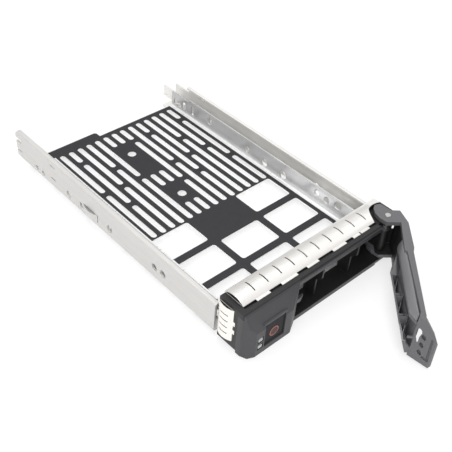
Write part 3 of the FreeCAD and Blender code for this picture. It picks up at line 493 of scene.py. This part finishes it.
# The lining: places along the lever with its far and near side there, its foot and height, and the
# shape of its rounded section, as shares of its width and height
LINING_PLACES = ((16.9, 6.0, 4.3), (25.0, 5.5, 4.3), (26.4, 6.6, 4.3), (30.0, 7.05, 4.3),
                 (45.0, 7.1, 4.3), (63.2, 7.1, 4.3), (65.5, 7.1, 5.6), (67.4, 7.15, 6.7))
LINING_FOOT, LINING_TALL = 17.9, 5.0
LINING_SECTION = ((0, 0), (0, 0.10), (0.08, 0.26), (0.25, 0.48), (0.5, 0.72), (0.75, 0.90), (1, 1), (1, 0))

# The cheek's upper face, and the cheek's thickness
CHEEK = ((18.5, 4.5, 15.8), (29.6, 4.9, 10.0), (29.6, 0.95, 10.0))
CHEEK_THICK = 0.9


def into_face(name, outline, way, start, end):
    """A solid over an outline of the tip's inner face, from one depth along a way to another."""
    rings = [[FACE_START + FACE_WAY * s + Vector((0, 0, z)) + way * depth for s, z in outline]
             for depth in (start, end)]
    return loft(name, rings)


def lever_arm():
    """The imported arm, filled where its straight cuts are and cut anew as the picture shows."""
    arm = copy_of("lever_arm", "lever_arm_carved")
    plugs = [upright("plug", NOTCH_CORNER, low - NOTCH_OVERLAP, low + NOTCH_TALL + NOTCH_OVERLAP)
             for low in NOTCH_HEIGHTS]
    plugs.append(upright("plug", STRAIGHT_OPENING, *STRAIGHT_OPENING_HEIGHTS))
    plugs.append(upright("plug", END_RIB, *END_RIB_HEIGHTS))
    carve(arm, plugs, "UNION")
    tools = [into_face("window", WINDOW, SIGHT, *WINDOW_DEPTHS)]
    for low in POCKET_HEIGHTS:
        along = POCKET_ALONG + (POCKET_HEIGHTS[0] - low) * POCKET_DRIFT
        outline = [(along + u, low + w) for u, w in POCKET]
        tools.append(into_face("pocket", outline, FACE_INTO, *POCKET_DEPTHS))
    tools.append(into_face("groove", GROOVE, FACE_INTO, *GROOVE_DEPTHS))
    tools.append(loft("chin", [[(along, v, w) for v, w in CHIN] for along in CHIN_ENDS]))
    tools.append(upright("stub", STUB, *STUB_HEIGHTS))
    carve(arm, tools, "DIFFERENCE")
    finish_piece(arm, "lever", "lever_arm", "lever_arm")


def lever_lining():
    """The rounded lining between the lever's shelf and its wall. Its plastic is the lever's, painted
    lighter as painted light.
    """
    rings = [[(along, near + (far - near) * u, LINING_FOOT + LINING_TALL * w) for u, w in LINING_SECTION]
             for along, far, near in LINING_PLACES]
    finish_piece(loft("lever_lining", rings), "lever", None, "lining", smooth=True)


def trough_cheek():
    """The sloping cheek from the lever's web down to the first rib of its trough."""
    under = [(u, v, w - CHEEK_THICK) for u, v, w in CHEEK]
    finish_piece(loft("trough_cheek", [CHEEK, under]), "lever", None, "lever_arm")


def tail_guard():
    """The low rib on the lever's tail that closes the gap beside the pin's post. It is painted with the
    near-black button plastic as painted shade.
    """
    guard = upright("tail_guard", GUARD, *GUARD_HEIGHTS)
    # Painted shade: the guard takes the near-black button plastic
    finish_piece(guard, "lever", None, "release_button")


lever_arm()
lever_lining()
trough_cheek()
tail_guard()


# Openings of the tray and the rails, each with its place, height and half sizes (y, z, wide, tall)

FLANGE_HOLES = ((34.6, 3.9, 1.5, 2.6), (29.9, 3.6, 1.3, 2.0), (0, 6.35, 2.1, 2.7), (25.5, 5.0, 2.1, 2.7),
                (-35.9, 4.8, 1.9, 2.4), (-51.0, 3.4, 2.6, 3.0), (-67.0, 3.4, 2.7, 3.1),
                (-93.8, 6.8, 2.2, 2.5), (-101.6, 6.35, 2.1, 2.5))
LEFT_RAIL_HOLES = ((31.7, 1.6, 2.0, 1.7), (24.8, 1.6, 1.7, 1.7), (-2.3, 3.0, 2.2, 2.2),
                   (-42.3, 4.0, 2.3, 2.4), (-81.6, 5.4, 2.1, 2.3), (-88.6, 5.8, 2.2, 2.3))
LOW_HOLE = (0.9, 2.7, 2.3)
RIGHT_RAIL_HOLES = [(y, *LOW_HOLE) for y in (34.5, 20.0, 3.3, -32.6, -47.7, -63.7, -90.5)]
FLANGE_SPAN = (49.0, 53.6)
RAIL_SPAN = (54.5, 61.5)
HOLE_STEPS = 20


def opened(node, holes, span, sides):
    """A copy of a node with oval openings through its upright sheets, which stand within a span on
    the left (-1), the right (1) or both sides."""
    obj = copy_of(node, node + "_opened")
    tools = []
    for y, z, wide, tall in holes:
        ring = oval_ring(wide, tall, HOLE_STEPS)
        for side in sides:
            rings = [[(side * x, y + u, z + w) for u, w in ring] for x in span]
            tools.append(loft("opening", rings, PART))
    carve(obj, tools, "DIFFERENCE")
    finish_piece(obj, "tray", node, node)


# The holes of the flanges and the left rail have the size that the picture shows. The right rail's
# low openings let the light through the flange's holes.
opened("tray_pan", FLANGE_HOLES, FLANGE_SPAN, (-1, 1))
opened("left_rail", LEFT_RAIL_HOLES, RAIL_SPAN, (-1,))
opened("right_rail", RIGHT_RAIL_HOLES, RAIL_SPAN, (1,))


# Ends of the light pipes

PIPE_X, PIPE_FRONT = -49.45, -151.12
PIPE_HEIGHTS = {"upper": 5.7, "lower": 1.0}
PIPE_WIDE, PIPE_TALL, PIPE_LEAN = 0.72, 1.15, 0.35
PIPE_STEPS = 24

# A ring at the pipe's back, one at its rim and one on its face: share of the size, and depth
PIPE_RINGS = ((1, 0.9), (1, 0.12), (0.82, 0))


def pipe_end(which, height):
    """The leaning oval that ends a light pipe, with its face to the front and a bevelled rim."""
    oval = oval_ring(PIPE_WIDE, PIPE_TALL, PIPE_STEPS, PIPE_LEAN)
    rings = [[(PIPE_X + u * share, PIPE_FRONT + deep, height + w * share) for u, w in oval]
             for share, deep in PIPE_RINGS]
    end = loft(which + "_pipe_end", rings, PART)
    finish_piece(end, "tray", None, "upper_light_pipe", smooth=True)


for which, height in PIPE_HEIGHTS.items():
    pipe_end(which, height)


# Stage: pale floor, soft light from above and the left, and the photograph's camera

FLOOR_SIZE = 6
FLOOR_GAP = 0.2 * MM
FLOOR_COLOUR = (0.94, 0.94, 0.94, 1)
FLOOR_ROUGHNESS = 0.9
FLOOR_GLOSS = 0.1
FLOOR_GLOW = 0.62
WHITE = (1, 1, 1, 1)

# The world's strength rises with the height of the direction that is looked in
WORLD_HEIGHTS = (-0.1, 0.9)
WORLD_STRENGTHS = (0.28, 0.85)

# Name, place in metres, power and width
LAMPS = (("key", (-1.05, -0.75, 1.25), 17.0, 1.1),
         ("top", (0.1, 0.2, 1.6), 9.0, 1.0),
         ("right", (1.0, -0.2, 0.6), 0.8, 0.7))
LAMP_AIM = Vector((0, -0.06, 0))

# The camera's place in millimetres, its axes, its lens in millimetres and its shift in pixels
CAMERA_PLACE = Vector((-228.02, -298.29, 281.29))
CAMERA_RIGHT = Vector((0.75865616, -0.65063417, 0.03340658))
CAMERA_DOWN = Vector((-0.41597798, -0.52322960, -0.74376952))
CAMERA_AHEAD = Vector((0.50140118, 0.55036893, -0.66760085))
SENSOR_WIDTH, LENS = 36, 59.99
PICTURE_WIDTH, SHIFT = 452, 30


def floor():
    """A matt floor that the camera, mirrors and glass see paler than it is lit."""
    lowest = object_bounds()[0][2]
    bpy.ops.mesh.primitive_plane_add(size=FLOOR_SIZE, location=(0, 0, lowest - FLOOR_GAP))
    plane = bpy.context.object
    plane.name = "floor"
    s = Shader("floor_white")
    s.bsdf.inputs["Roughness"].default_value = FLOOR_ROUGHNESS
    s.bsdf.inputs["Specular IOR Level"].default_value = FLOOR_GLOSS
    s.bsdf.inputs["Base Color"].default_value = FLOOR_COLOUR
    rays = s.add("LightPath").outputs
    seen = s.math("ADD", rays["Is Camera Ray"], rays["Is Glossy Ray"])
    seen = s.math("MINIMUM", s.math("ADD", seen, rays["Is Transmission Ray"]), 1.0)
    glow = s.add("Emission")
    glow.inputs["Strength"].default_value = 1.0
    blend = s.add("MixShader")
    s.link(s.math("MULTIPLY", seen, FLOOR_GLOW), blend.inputs[0])
    s.link(s.bsdf.outputs["BSDF"], blend.inputs[1])
    s.link(glow.outputs["Emission"], blend.inputs[2])
    s.link(blend.outputs["Shader"], s.tree.nodes["Material Output"].inputs["Surface"])
    paint(plane, s.material)
    plane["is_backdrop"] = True


def surroundings():
    """A world that is white to the camera and lights the part more from above than from the side.
    Sockets 2 and 3 of its mix are the two numbers that it mixes."""
    world = bpy.data.worlds.new("studio")
    bpy.context.scene.world = world
    world.use_nodes = True
    w = Tree(world.node_tree)
    background = w.tree.nodes["Background"]
    background.inputs["Color"].default_value = WHITE
    upward = w.axes(w.add("TexCoord").outputs["Generated"])["Z"]
    strength = w.add("Mix")
    w.link(w.add("LightPath").outputs["Is Camera Ray"], strength.inputs["Factor"])
    w.link(w.remap(upward, *WORLD_HEIGHTS, *WORLD_STRENGTHS), strength.inputs[2])
    strength.inputs[3].default_value = 1.0
    w.link(strength.outputs[0], background.inputs["Strength"])


def lamps():
    """Soft lamps that aim at the middle of the part."""
    for name, place, power, width in LAMPS:
        lamp = bpy.data.lights.new(name, "AREA")
        lamp.energy = power
        lamp.size = width
        holder = bpy.data.objects.new(name, lamp)
        bpy.context.collection.objects.link(holder)
        holder.location = place
        holder.rotation_euler = (LAMP_AIM - Vector(place)).to_track_quat("-Z", "Y").to_euler()


def camera():
    """The photograph's camera."""
    data = bpy.data.cameras.new("camera")
    data.sensor_width = SENSOR_WIDTH
    data.lens = LENS
    data.shift_x = SHIFT / PICTURE_WIDTH
    holder = bpy.data.objects.new("camera", data)
    bpy.context.collection.objects.link(holder)
    turn = Matrix((CAMERA_RIGHT, -CAMERA_DOWN, -CAMERA_AHEAD)).transposed().to_4x4()
    holder.matrix_world = Matrix.Translation(CAMERA_PLACE * MM) @ turn
    bpy.context.scene.camera = holder


floor()
surroundings()
lamps()
camera()
bpy.context.scene.view_settings.view_transform = "Standard"
